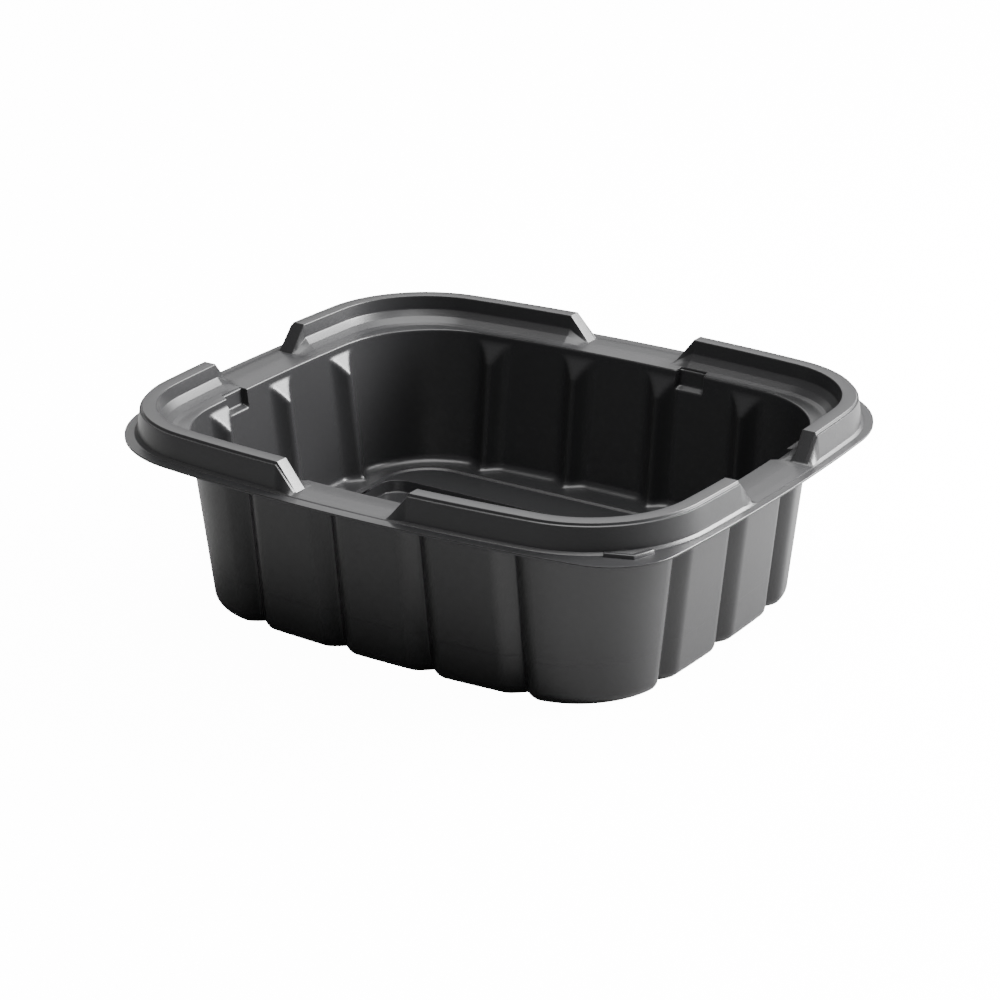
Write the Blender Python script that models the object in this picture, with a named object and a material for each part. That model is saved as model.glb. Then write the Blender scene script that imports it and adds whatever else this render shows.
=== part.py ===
"""Takeaway meal tray: one thin formed shell of black plastic, open at the top.

The frame is the tray's own: origin at the middle of its base, +X along the long sides, +Z up.
The shell is worked out as its inner skin, level by level, and thickened outwards.
A level is one closed outline, from the cut edge of the flange in to the middle of the floor.
The foot that the floor stands on is a second skin, which carries the walls on down to the table.
Sides are numbered front, right, back, left, and each is measured along from its own middle.
"""

import bmesh
import bpy
import math
import numpy as np
from collections import namedtuple

MM = 0.001

# Overall sizes, in millimetres
WALL = 0.6
FOOT_WALL = 0.5
FOOT_OUTSET = 0.05
HEIGHT = 60.5
RIM_LENGTH = 180.0
RIM_WIDTH = 153.4
FLANGE_LENGTH = 187.8
FLANGE_WIDTH = 163.2
TUB_LENGTH = 157.0
TUB_WIDTH = 131.2

# Corner radii of the outlines in plan
RIM_RADIUS = 34.9
FLANGE_RADIUS = 38.4
TAB_RADIUS = 21.0
TUB_RADIUS = 32.0

# How much each side bows outwards: distance lost per squared distance from its middle
LONG_BOW = 0.00098
SHORT_BOW = 0.00073
STRAIGHT = 0.01

# Raised bead, in four lengths with a gap at the middle of every side
BEAD_TOP = 4.8
BEAD_LEAN = 1.0
BEAD_FOOT = 7.25
BEAD_FILLET = 0.8
BEAD_ROUND = 0.35
FLANGE_DROP = 8.0
TUB_DROP = 8.1
INNER_SWEEP = ((5.3, 4.05), (6.0, 5.1), (6.9, 5.95), (8.55, 7.35), (9.9, 7.85))
GAP_FOOT = 15.35
GAP_TOP = 21.45
GAP_CROWN = 0.45

# Tub walls and their grooves
LONG_DRAFT = 6.0
SHORT_DRAFT = 5.8
RADIUS_DRAFT = 5.6
FLOOR_CORNER = 2.6
FOOT_CORNER = 3.4
FOOT_TOP_DROP = 45.5
GROOVE_PITCH = 29.35
GROOVE_HALF_WIDTH = 6.0
GROOVE_DEPTH = 3.4
GROOVE_SHAPE = 2.0
GROOVE_SHARES = (-1.0, -0.5, 0.0, 0.5, 1.0)
GROOVE_LIP_DROP = 10.2
GROOVE_TOP_DROP = 11.0
GROOVE_START = 0.3
GROOVE_TIP_DROP = 16.5
LONG_GROOVES = 4
SHORT_GROOVES = 3

# Recesses under the tub edge that keep stacked trays apart
RECESS_DEPTH = 1.8
RECESS_SIDE = 0.6
LONG_RECESS = (-29.0, -19.2)
SHORT_RECESS = (15.6, 25.6)
RECESS_SHELF_TOP = 12.6
RECESS_SHELF_FOOT = 13.9

# Raised floor, with a shallow sunk panel in it and a well in the panel
FLOOR_HEIGHT = 10.8
PANEL_LENGTH = 131.6
PANEL_WIDTH = 102.4
PANEL_RADIUS = 15.0
PANEL_DEPTH = 0.5
WELL_LENGTH = 129.0
WELL_WIDTH = 74.0
WELL_RADIUS = 6.0
WELL_DEPTH = 3.6
WELL_LEAN = 0.8

# Chevron ridge on the tab at the front right corner of the flange
RIDGE_PATH = ((76.2, -67.8), (83.4, -65.2), (85.6, -59.2))
RIDGE_HEIGHT = 1.0
RIDGE_ROOT = 0.3
RIDGE_BASE = 2.4
RIDGE_TOP = 1.2

# Points round each corner, and along each length of bead and each plain side
CORNER_POINTS = 9
FLOOR_CORNER_POINTS = 5
ARC_SAMPLES = 48
FULL_TURN = 8.0

BLACK = (0.012, 0.012, 0.013, 1.0)

Outline = namedtuple("Outline", "half_x half_y radius bow")
Places = namedtuple("Places", "long short corner")
Level = namedtuple("Level", "bead bead_drop gap gap_drop places grooved recessed spread")

RIM = Outline(RIM_LENGTH / 2, RIM_WIDTH / 2, RIM_RADIUS, 1.0)
FLANGE = Outline(FLANGE_LENGTH / 2, FLANGE_WIDTH / 2, FLANGE_RADIUS, 1.0)
TUB = Outline(TUB_LENGTH / 2, TUB_WIDTH / 2, TUB_RADIUS, 1.0)
PANEL = Outline(PANEL_LENGTH / 2, PANEL_WIDTH / 2, PANEL_RADIUS, STRAIGHT)
WELL = Outline(WELL_LENGTH / 2, WELL_WIDTH / 2, WELL_RADIUS, STRAIGHT)
LONG_REACH = (LONG_GROOVES - 1) / 2 * GROOVE_PITCH + GROOVE_HALF_WIDTH
SHORT_REACH = (SHORT_GROOVES - 1) / 2 * GROOVE_PITCH + GROOVE_HALF_WIDTH
FLOOR_DROP = HEIGHT - FLOOR_HEIGHT


def clear_scene():
    """Remove the objects that a new file starts with."""
    for item in list(bpy.data.objects):
        bpy.data.objects.remove(item, do_unlink=True)


def black_plastic():
    """Satin black polypropylene."""
    material = bpy.data.materials.new("black_plastic")
    material.use_nodes = True
    shader = material.node_tree.nodes["Principled BSDF"]
    shader.inputs["Base Color"].default_value = BLACK
    shader.inputs["Roughness"].default_value = 0.32
    return material


def grown(outline, distance):
    """The same outline moved outwards by a distance, with its corners concentric."""
    return outline._replace(
        half_x=outline.half_x + distance,
        half_y=outline.half_y + distance,
        radius=outline.radius + distance,
    )


def wall_outline(drop):
    """The tub wall's outline at a depth below the bead's top, drawn in by its draft."""
    share = (drop - TUB_DROP) / (HEIGHT - TUB_DROP)
    return TUB._replace(
        half_x=TUB.half_x - SHORT_DRAFT * share,
        half_y=TUB.half_y - LONG_DRAFT * share,
        radius=TUB.radius - RADIUS_DRAFT * share,
    )


def quarter(outline):
    """One quarter of an outline, from the middle of the long side to that of the short one.

    Each side is an arc, and the corner is a smaller arc that touches both.
    """
    long_radius = 0.5 / (LONG_BOW * outline.bow)
    short_radius = 0.5 / (SHORT_BOW * outline.bow)
    long_centre = np.array([0.0, outline.half_y - long_radius])
    short_centre = np.array([outline.half_x - short_radius, 0.0])
    to_long = long_radius - outline.radius
    to_short = short_radius - outline.radius
    span = short_centre - long_centre
    length = np.hypot(*span)
    along = (to_long ** 2 - to_short ** 2 + length ** 2) / (2 * length)
    across = math.sqrt(to_long ** 2 - along ** 2)
    direction = span / length
    centre = long_centre + along * direction + across * np.array([direction[1], -direction[0]])
    start = math.atan2(centre[1] - long_centre[1], centre[0] - long_centre[0])
    end = math.atan2(centre[1] - short_centre[1], centre[0] - short_centre[0])
    arcs = (
        (long_centre, long_radius, math.pi / 2, start),
        (centre, outline.radius, start, end),
        (short_centre, short_radius, end, 0.0),
    )
    points = []
    for middle, radius, first, last in arcs:
        for angle in np.linspace(first, last, ARC_SAMPLES):
            points.append(middle + radius * np.array([math.cos(angle), math.sin(angle)]))
    return np.array(points)


def outwards(outline, along, is_long):
    """How far out a side of an outline is, at a distance along from the side's middle."""
    line = quarter(outline)
    if is_long:
        return np.interp(abs(along), line[:, 0], line[:, 1])
    return np.interp(abs(along), line[::-1, 1], line[::-1, 0])


def corner_points(outline, x_end, y_end, count):
    """Points spaced evenly round a corner, between the last points of its two sides."""
    line = quarter(outline)
    first = (x_end, np.interp(x_end, line[:, 0], line[:, 1]))
    last = (np.interp(y_end, line[::-1, 1], line[::-1, 0]), y_end)
    between = [tuple(p) for p in line if p[0] > first[0] and p[1] > last[1]]
    path = np.array([first] + between + [last])
    travelled = np.concatenate([[0.0], np.cumsum(np.hypot(*np.diff(path, axis=0).T))])
    stops = np.linspace(0.0, travelled[-1], count + 2)[1:-1]
    return [(np.interp(s, travelled, path[:, 0]), np.interp(s, travelled, path[:, 1])) for s in stops]


def groove_middles(count):
    """Where the grooves of a side are, evenly spaced about its middle."""
    return [(k - (count - 1) / 2) * GROOVE_PITCH for k in range(count)]


def recess_edges(recess):
    """Where the sides of a stacking recess begin and end."""
    low, high = recess
    return [low, low + RECESS_SIDE, high - RECESS_SIDE, high]


def rim_places(reach, recess):
    """Points along a side of the rim: the bead's sloping ends, the recess, and a few for the bow."""
    middle = (GAP_TOP + reach) / 2
    places = [-reach, -middle, -GAP_TOP, -GAP_FOOT, 0.0, GAP_FOOT, GAP_TOP, middle, reach]
    return sorted(places + recess_edges(recess))


def groove_places(count):
    """Points along a side that follow its grooves."""
    places = []
    for middle in groove_middles(count):
        places += [middle + share * GROOVE_HALF_WIDTH for share in GROOVE_SHARES]
    return places


def recess_places(count, recess):
    """Points along a side that follow its grooves and its stacking recess."""
    edges = recess_edges(recess)
    others = [p for p in groove_places(count) if min(abs(p - e) for e in edges) > RECESS_SIDE]
    return sorted(others + edges)


def floor_places(count, reach):
    """Points along a plain side of the floor: its ends, and one opposite each groove."""
    return [-reach] + groove_middles(count) + [reach]


RIM_PLACES = Places(
    rim_places(LONG_REACH, LONG_RECESS),
    rim_places(SHORT_REACH, SHORT_RECESS),
    CORNER_POINTS,
)
GROOVE_PLACES = Places(groove_places(LONG_GROOVES), groove_places(SHORT_GROOVES), CORNER_POINTS)
RECESS_PLACES = Places(
    recess_places(LONG_GROOVES, LONG_RECESS),
    recess_places(SHORT_GROOVES, SHORT_RECESS),
    CORNER_POINTS,
)
FLOOR_PLACES = Places(
    floor_places(LONG_GROOVES, LONG_REACH),
    floor_places(SHORT_GROOVES, SHORT_REACH),
    FLOOR_CORNER_POINTS,
)


def groove_depth(along, count, drop):
    """How far a groove moves the wall inwards, at a distance along its side and a depth."""
    drops = (GROOVE_LIP_DROP, GROOVE_TOP_DROP, GROOVE_TIP_DROP)
    facet = np.interp(drop, drops, (0.0, GROOVE_START, GROOVE_DEPTH))
    nearest = min(abs(along - middle) for middle in groove_middles(count))
    share = max(0.0, 1.0 - nearest / GROOVE_HALF_WIDTH)
    return min(facet, GROOVE_DEPTH * share ** GROOVE_SHAPE)


def recess_depth(along, recess):
    """How far a stacking recess moves the wall outwards."""
    low, high = recess
    inside = min(along - low, high - along)
    return RECESS_DEPTH * min(max(inside / RECESS_SIDE, 0.0), 1.0)


def bead_share(along):
    """How much bead there is: none in the gap, all of it beyond the bead's sloping end."""
    return min(max((abs(along) - GAP_FOOT) / (GAP_TOP - GAP_FOOT), 0.0), 1.0)


def rim_levels():
    """The levels of the flange and the bead, in to the foot of the bead's inner side."""

    def level(bead_inset, bead_drop, gap_inset, gap_rise):
        return Level(grown(RIM, -bead_inset), bead_drop, grown(RIM, -gap_inset),
                     FLANGE_DROP - gap_rise, RIM_PLACES, False, False, (1.0, 1.0))

    foot = -BEAD_LEAN - BEAD_FILLET
    levels = [
        Level(FLANGE, FLANGE_DROP, FLANGE, FLANGE_DROP, RIM_PLACES, False, False, (1.0, 1.0)),
        level(foot, FLANGE_DROP, foot, 0.0),
        level(-BEAD_LEAN, BEAD_FOOT, -BEAD_LEAN, GAP_CROWN * 0.5),
        level(-BEAD_LEAN * 0.1, BEAD_ROUND * 2, 0.0, GAP_CROWN * 0.8),
        level(BEAD_ROUND, 0.0, 0.8, GAP_CROWN),
        level(BEAD_TOP - BEAD_ROUND, 0.0, BEAD_TOP - 0.4, GAP_CROWN),
        level(BEAD_TOP, BEAD_ROUND * 2, BEAD_TOP + 0.2, GAP_CROWN * 0.9),
    ]
    for count, (inset, drop) in enumerate(INNER_SWEEP):
        fall = (count + 1) / (len(INNER_SWEEP) + 1)
        levels.append(level(inset, drop, inset, GAP_CROWN * 0.9 * (1 - fall)))
    return levels


def wall_levels():
    """The levels of the tub wall, from its edge down and round into the floor."""

    def level(outline, drop, places, grooved=True, recessed=False):
        return Level(outline, drop, outline, drop, places, grooved, recessed, (1.0, 1.0))

    levels = [level(wall_outline(TUB_DROP), TUB_DROP, RECESS_PLACES, False, True)]
    for drop in (GROOVE_LIP_DROP, GROOVE_TOP_DROP, RECESS_SHELF_TOP):
        levels.append(level(wall_outline(drop), drop, RECESS_PLACES, recessed=True))
    levels.append(level(wall_outline(RECESS_SHELF_FOOT), RECESS_SHELF_FOOT, RECESS_PLACES))
    levels.append(level(wall_outline(GROOVE_TIP_DROP), GROOVE_TIP_DROP, GROOVE_PLACES))
    for outline, drop in rounded_foot(FLOOR_DROP, FLOOR_CORNER):
        levels.append(level(outline, drop, GROOVE_PLACES))
    return levels


def rounded_foot(bottom, radius):
    """The wall's outlines and drops as it rounds inwards to a level bottom."""
    corner = wall_outline(bottom - radius)
    found = []
    for angle in (0, 30, 60, 90):
        inset = radius * (1 - math.cos(math.radians(angle)))
        drop = bottom - radius * (1 - math.sin(math.radians(angle)))
        found.append((grown(corner, -inset), drop))
    return found


def floor_levels():
    """The levels of the floor, from its sunk panel in to the bottom of the well."""

    def level(outline, drop, spread):
        return Level(outline, drop, outline, drop, FLOOR_PLACES, False, False, spread)

    panel = FLOOR_DROP + PANEL_DEPTH
    return [
        level(PANEL, FLOOR_DROP, (0.98, 0.94)),
        level(grown(PANEL, -PANEL_DEPTH), panel, (0.98, 0.94)),
        level(WELL, panel, (0.96, 0.7)),
        level(grown(WELL, -WELL_LEAN), panel + WELL_DEPTH, (0.96, 0.7)),
    ]


def foot_levels():
    """The levels of the foot, from inside the wall's thickness down and round to the table."""
    lines = [(wall_outline(FOOT_TOP_DROP), FOOT_TOP_DROP)]
    lines += rounded_foot(HEIGHT - FOOT_WALL, FOOT_CORNER)
    levels = []
    for line, drop in lines:
        outline = grown(line, FOOT_OUTSET)
        levels.append(Level(outline, drop, outline, drop, GROOVE_PLACES, True, False, (1.0, 1.0)))
    return levels


def side_points(level, side):
    """The points of a level along one side, each with its key in the order round the level."""
    is_long = side % 2 == 0
    places = level.places.long if is_long else level.places.short
    reach = LONG_REACH if is_long else SHORT_REACH
    grooves = LONG_GROOVES if is_long else SHORT_GROOVES
    recess = LONG_RECESS if is_long else SHORT_RECESS
    turn = side * math.pi / 2
    found = []
    for place in places:
        along = place * level.spread[side % 2]
        share = bead_share(place)
        out = share * outwards(level.bead, along, is_long)
        out += (1 - share) * outwards(level.gap, along, is_long)
        drop = share * level.bead_drop + (1 - share) * level.gap_drop
        if level.grooved:
            out -= groove_depth(place, grooves, drop)
        if level.recessed:
            out += recess_depth(place, recess)
        if level.places is RIM_PLACES:
            edge = outwards(wall_outline(TUB_DROP), along, is_long)
            out = max(out, edge + recess_depth(place, recess))
        x = along * math.cos(turn) + out * math.sin(turn)
        y = along * math.sin(turn) - out * math.cos(turn)
        key = 2 * side + (place / reach + 1) / 2
        found.append((key, (x * MM, y * MM, (HEIGHT - drop) * MM)))
    return found


def turn_points(level, side):
    """The points of a level round the corner that follows a side."""
    outline = level.bead
    if outline is FLANGE and side == 0:
        outline = FLANGE._replace(radius=TAB_RADIUS)
    x_end = LONG_REACH * level.spread[0]
    y_end = SHORT_REACH * level.spread[1]
    points = corner_points(outline, x_end, y_end, level.places.corner)
    if side % 2:
        points.reverse()
    x_sign = 1 if side < 2 else -1
    y_sign = 1 if side in (1, 2) else -1
    found = []
    for number, (x, y) in enumerate(points, start=1):
        key = 2 * side + 1 + number / (len(points) + 1)
        found.append((key, (x_sign * x * MM, y_sign * y * MM, (HEIGHT - level.bead_drop) * MM)))
    return found


def add_ring(shell, level):
    """Add a level's points to the shell, in order, with the first one again at the end."""
    ring = []
    for side in range(4):
        for key, point in side_points(level, side) + turn_points(level, side):
            ring.append((key, shell.verts.new(point)))
    ring.append((FULL_TURN, ring[0][1]))
    return ring


def stitch(shell, outer, inner):
    """Join two rings: four-sided faces where both have a point, triangles where one has."""
    a = 0
    b = 0
    while a + 1 < len(outer) or b + 1 < len(inner):
        outer_key = outer[a + 1][0] if a + 1 < len(outer) else FULL_TURN + 1
        inner_key = inner[b + 1][0] if b + 1 < len(inner) else FULL_TURN + 1
        corners = [outer[a][1]]
        if outer_key < inner_key + 1e-6:
            a += 1
            corners.append(outer[a][1])
        if inner_key < outer_key + 1e-6:
            corners.append(inner[b + 1][1])
        corners.append(inner[b][1])
        if inner_key < outer_key + 1e-6:
            b += 1
        shell.faces.new(corners)


def add_object(name, shell, material):
    """Turn a worked-out mesh into a named object with its material, shaded smooth."""
    mesh = bpy.data.meshes.new(name)
    shell.to_mesh(mesh)
    shell.free()
    mesh.materials.append(material)
    mesh.shade_smooth()
    mesh.set_sharp_from_angle(angle=math.radians(35))
    item = bpy.data.objects.new(name, mesh)
    bpy.context.scene.collection.objects.link(item)
    return item


def add_skin(levels):
    """A mesh of the bands between levels, and its last ring."""
    shell = bmesh.new()
    outer = None
    for level in levels:
        ring = add_ring(shell, level)
        if outer:
            stitch(shell, outer, ring)
        outer = ring
    return shell, outer


def thicken(item, thickness):
    """Give a skin its thickness, outwards."""
    solid = item.modifiers.new("thickness", "SOLIDIFY")
    solid.thickness = thickness * MM
    solid.offset = -1.0
    solid.use_even_offset = True
    solid.use_quality_normals = True


def join(item, other):
    """Join another solid to an item, and keep the other out of sight."""
    union = item.modifiers.new(other.name, "BOOLEAN")
    union.operation = "UNION"
    union.solver = "EXACT"
    union.object = other
    other.hide_render = True
    other.display_type = "WIRE"


def build_foot(material):
    """The foot: the walls carried on below the floor, and turned in where they stand."""
    shell, _ = add_skin(foot_levels())
    foot = add_object("foot", shell, material)
    thicken(foot, FOOT_WALL)
    return foot


def build_ridge(material):
    """The chevron ridge, as a mitred bar whose root is inside the flange's thickness."""
    path = [np.array(p) for p in RIDGE_PATH]
    normals = []
    for first, last in zip(path, path[1:]):
        along = (last - first) / np.hypot(*(last - first))
        normals.append(np.array([along[1], -along[0]]))
    mitre = normals[0] + normals[1]
    mitre *= 1 / (mitre @ normals[0])
    offsets = (normals[0], mitre, normals[1])
    flange = HEIGHT - FLANGE_DROP
    rings = []
    shell = bmesh.new()
    for width, z in ((RIDGE_BASE, flange - RIDGE_ROOT), (RIDGE_TOP, flange + RIDGE_HEIGHT)):
        outer = [p + o * width / 2 for p, o in zip(path, offsets)]
        inner = [p - o * width / 2 for p, o in zip(path, offsets)]
        ring = [shell.verts.new((x * MM, y * MM, z * MM)) for x, y in outer + inner[::-1]]
        rings.append(ring)
    low, high = rings
    shell.faces.new(high)
    shell.faces.new(low[::-1])
    for k in range(len(low)):
        after = (k + 1) % len(low)
        shell.faces.new((low[k], low[after], high[after], high[k]))
    return add_object("ridge", shell, material)


def build_tray(material):
    """The whole tray: inner skin, thickened outwards, with its foot and the tab's ridge."""
    shell, inner = add_skin(rim_levels() + wall_levels() + floor_levels())
    shell.faces.new([vert for key, vert in inner[:-1]])
    tray = add_object("tray", shell, material)
    thicken(tray, WALL)
    join(tray, build_foot(material))
    join(tray, build_ridge(material))
    return tray


def main():
    """Build the tray in an empty scene."""
    clear_scene()
    build_tray(black_plastic())


main()
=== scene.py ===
"""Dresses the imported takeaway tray: a fine black skin and its foot in a plain pale studio."""

from __future__ import annotations

import logging
import math
from dataclasses import dataclass, field, replace
from enum import Enum

import bpy
import numpy as np
from mathutils import Matrix, Vector

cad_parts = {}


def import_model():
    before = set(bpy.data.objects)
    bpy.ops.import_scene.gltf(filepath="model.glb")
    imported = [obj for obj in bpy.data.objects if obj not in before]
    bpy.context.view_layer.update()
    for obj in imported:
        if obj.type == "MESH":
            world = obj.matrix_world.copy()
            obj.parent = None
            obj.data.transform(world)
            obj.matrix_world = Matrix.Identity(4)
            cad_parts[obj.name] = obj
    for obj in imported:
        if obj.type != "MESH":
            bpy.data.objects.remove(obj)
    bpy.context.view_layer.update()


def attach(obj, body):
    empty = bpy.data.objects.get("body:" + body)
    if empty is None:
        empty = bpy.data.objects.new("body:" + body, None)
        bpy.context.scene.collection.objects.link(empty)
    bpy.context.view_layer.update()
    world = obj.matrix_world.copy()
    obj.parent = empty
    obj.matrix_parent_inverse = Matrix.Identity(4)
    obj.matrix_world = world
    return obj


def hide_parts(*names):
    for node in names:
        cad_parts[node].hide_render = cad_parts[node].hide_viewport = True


# Metres in a millimetre, and the key that closes a line: two for each side with its corner.
MM = 0.001
FULL_TURN = 8.0

# Differences under this count as none.
TINY = 1e-6

# How far a rounding reaches at least, in millimetres, and the share of the shorter stretch
# beside it that it may take at most.
ROUNDING_LEAST = 0.06
ROUNDING_SHARE = 0.48

LOG = logging.getLogger("tray")

Point = tuple[float, float, float]
Line = list[tuple[float, Point]]


class Side(Enum):
    """The four sides in order, seen from above and going round by the right."""

    FRONT = 0
    RIGHT = 1
    BACK = 2
    LEFT = 3

    @property
    def is_long(self) -> bool:
        """Whether this is one of the two long sides."""
        return self.value % 2 == 0

    @property
    def signs(self) -> tuple[int, int]:
        """The signs of X and Y at the corner that follows this side."""
        return (1 if self.value < 2 else -1, 1 if self.value in (1, 2) else -1)


@dataclass(frozen=True)
class Outline:
    """A rounded oblong whose sides bow outwards, in millimetres.

    Args:
        half_x: Half its length.
        half_y: Half its width.
        radius: Radius of its corners in plan.
        bow: Share of the tray's own bow that its sides have.
        long_bow: Fall of a long side from its middle, per square millimetre along it.
        short_bow: The same for a short side.
    """

    half_x: float
    half_y: float
    radius: float
    bow: float = 1.0
    long_bow: float = 0.00098
    short_bow: float = 0.00073

    def grown(self, distance: float) -> Outline:
        """Move the outline outwards.

        Args:
            distance: How far, in millimetres.

        Returns:
            The new outline, with concentric corners.
        """
        return replace(
            self,
            half_x=self.half_x + distance,
            half_y=self.half_y + distance,
            radius=self.radius + distance,
        )

    def quarter(self, samples: int = 90) -> np.ndarray:
        """Trace one quarter, from the middle of the long side to that of the short one.

        Args:
            samples: Points on each of its three arcs.

        Returns:
            An array of points, with X rising and Y falling.
        """
        long_radius = 0.5 / (self.long_bow * self.bow)
        short_radius = 0.5 / (self.short_bow * self.bow)
        long_centre = np.array([0.0, self.half_y - long_radius])
        short_centre = np.array([self.half_x - short_radius, 0.0])
        to_long = long_radius - self.radius
        to_short = short_radius - self.radius
        span = short_centre - long_centre
        length = float(np.hypot(*span))
        along = (to_long**2 - to_short**2 + length**2) / (2 * length)
        across = math.sqrt(to_long**2 - along**2)
        direction = span / length
        normal = np.array([direction[1], -direction[0]])
        centre = long_centre + along * direction + across * normal
        start = math.atan2(centre[1] - long_centre[1], centre[0] - long_centre[0])
        end = math.atan2(centre[1] - short_centre[1], centre[0] - short_centre[0])
        arcs = (
            (long_centre, long_radius, math.pi / 2, start),
            (centre, self.radius, start, end),
            (short_centre, short_radius, end, 0.0),
        )
        traced = []
        for middle, radius, first, last in arcs:
            angles = np.linspace(first, last, samples)
            traced.append(middle + radius * np.column_stack([np.cos(angles), np.sin(angles)]))
        return np.vstack(traced)

    def out_at(self, side: Side, along: np.ndarray) -> np.ndarray:
        """Measure how far out the outline lies along a side.

        Args:
            side: The side.
            along: Distances along it from its middle, of either sign.

        Returns:
            The outline's distance from the tray's middle at each place.
        """
        line = self.quarter()
        if side.is_long:
            return np.interp(np.abs(along), line[:, 0], line[:, 1])
        return np.interp(np.abs(along), line[::-1, 1], line[::-1, 0])


@dataclass(frozen=True)
class Stations:
    """The places where a band of the skin has its points.

    Args:
        long: Distances along a long side from its middle.
        short: Distances along a short side from its middle.
        corner: Number of points round each corner.
    """

    long: tuple[float, ...]
    short: tuple[float, ...]
    corner: int

    def on(self, side: Side) -> np.ndarray:
        """Pick the distances along one side.

        Args:
            side: The side.

        Returns:
            Its distances.
        """
        return np.array(self.long if side.is_long else self.short)


@dataclass(frozen=True)
class Level:
    """One closed line round the skin, for the bead and for the gaps in it.

    Args:
        bead: Outline where the bead stands.
        bead_drop: Depth of that outline below the bead's top.
        gap: Outline in the gaps.
        gap_drop: Depth of the line in the gaps.
        stations: Where the line has its points.
        grooves: Share of the wall's grooves that this line follows.
        recesses: Share of the stacking recesses that this line follows.
        spread: How much of the distance along long and short sides its points keep.
        outside_tub: Whether the line stays outside the tub's edge and its recesses.
    """

    bead: Outline
    bead_drop: float
    gap: Outline
    gap_drop: float
    stations: Stations
    grooves: float = 0.0
    recesses: float = 0.0
    spread: tuple[float, float] = (1.0, 1.0)
    outside_tub: bool = False


def spaced(low: float, high: float, step: float) -> list[float]:
    """Divide a stretch evenly.

    Args:
        low: Its start.
        high: Its end.
        step: The longest gap between neighbours.

    Returns:
        The places from start to end, both included.
    """
    count = max(1, math.ceil((high - low) / step))
    return [low + (high - low) * k / count for k in range(count + 1)]


def merged(places: list[float], closest: float) -> tuple[float, ...]:
    """Sort places and drop those that nearly coincide, keeping both ends.

    Args:
        places: The places, in any order.
        closest: The least distance between neighbours.

    Returns:
        The places that stay, in order.
    """
    ordered = sorted(places)
    kept = [ordered[0]]
    for place in ordered[1:-1]:
        if place - kept[-1] > closest and ordered[-1] - place > closest:
            kept.append(place)
    return tuple(kept + [ordered[-1]])


def rounded(corners: list[tuple[float, float, float]], steps: int) -> list[tuple[float, float]]:
    """Round the corners of an open line.

    Args:
        corners: Points as (outwards, drop, radius); the first and last stay as they are.
        steps: Stretches in each rounding.

    Returns:
        Points as (outwards, drop), the same number for the same number of corners.
    """
    points = [np.array(c[:2]) for c in corners]
    found = [tuple(points[0])]
    for before, here, after, corner in zip(points, points[1:], points[2:], corners[1:-1]):
        back = (before - here) / np.hypot(*(before - here))
        ahead = (after - here) / np.hypot(*(after - here))
        half = math.acos(max(-1.0, min(1.0, float(back @ ahead)))) / 2
        room = min(np.hypot(*(before - here)), np.hypot(*(after - here))) * ROUNDING_SHARE
        reach = min(max(corner[2] / max(math.tan(half), TINY), ROUNDING_LEAST), room)
        start = here + back * reach
        end = here + ahead * reach
        for k in range(steps + 1):
            t = k / steps
            point = (1 - t) ** 2 * start + 2 * t * (1 - t) * here + t**2 * end
            found.append((float(point[0]), float(point[1])))
    found.append(tuple(points[-1]))
    return found


def soft_least(a: np.ndarray, b: np.ndarray, blend: float) -> np.ndarray:
    """Take the lesser of two values, with the crease between them rounded.

    Args:
        a: The first values.
        b: The second values.
        blend: The difference over which the crease is rounded.

    Returns:
        The lesser at each place.
    """
    mix = np.clip(0.5 + 0.5 * (b - a) / blend, 0.0, 1.0)
    return b * (1 - mix) + a * mix - blend * mix * (1 - mix)


def soft_step(value: np.ndarray) -> np.ndarray:
    """Rise smoothly from zero to one.

    Args:
        value: Where on the rise, with its start at zero and its end at one.

    Returns:
        The height of the rise at each value.
    """
    held = np.clip(value, 0.0, 1.0)
    return held * held * (3 - 2 * held)


@dataclass
class Skin:
    """A skin of the tray, joined up line by line.

    Args:
        points: Its points so far, in metres.
        faces: Its faces so far, as point numbers.
        last: Keys and point numbers of the line added last.
    """

    points: list[Point] = field(default_factory=list)
    faces: list[tuple[int, ...]] = field(default_factory=list)
    last: list[tuple[float, int]] = field(default_factory=list)

    def add(self, line: Line) -> None:
        """Add one closed line and join it to the one before.

        Args:
            line: Its points in order, each with a key that rises round the line.
        """
        ring = []
        for key, point in line:
            ring.append((key, len(self.points)))
            self.points.append(point)
        ring.append((FULL_TURN, ring[0][1]))
        if self.last:
            self.join(self.last, ring)
        self.last = ring

    def join(self, outer: list[tuple[float, int]], inner: list[tuple[float, int]]) -> None:
        """Fill the band between two lines.

        Args:
            outer: Keys and point numbers of the outer line.
            inner: Keys and point numbers of the inner line.
        """
        a = 0
        b = 0
        while a + 1 < len(outer) or b + 1 < len(inner):
            outer_key = outer[a + 1][0] if a + 1 < len(outer) else FULL_TURN + 1
            inner_key = inner[b + 1][0] if b + 1 < len(inner) else FULL_TURN + 1
            step_outer = outer_key < inner_key + TINY
            step_inner = inner_key < outer_key + TINY
            face = [outer[a][1]]
            if step_outer:
                face.append(outer[a + 1][1])
            if step_inner:
                face.append(inner[b + 1][1])
            face.append(inner[b][1])
            self.faces.append(tuple(face))
            a += step_outer
            b += step_inner

    def close(self) -> None:
        """Fill the middle of the last line with one flat face."""
        self.faces.append(tuple(number for key, number in self.last[:-1]))


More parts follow.
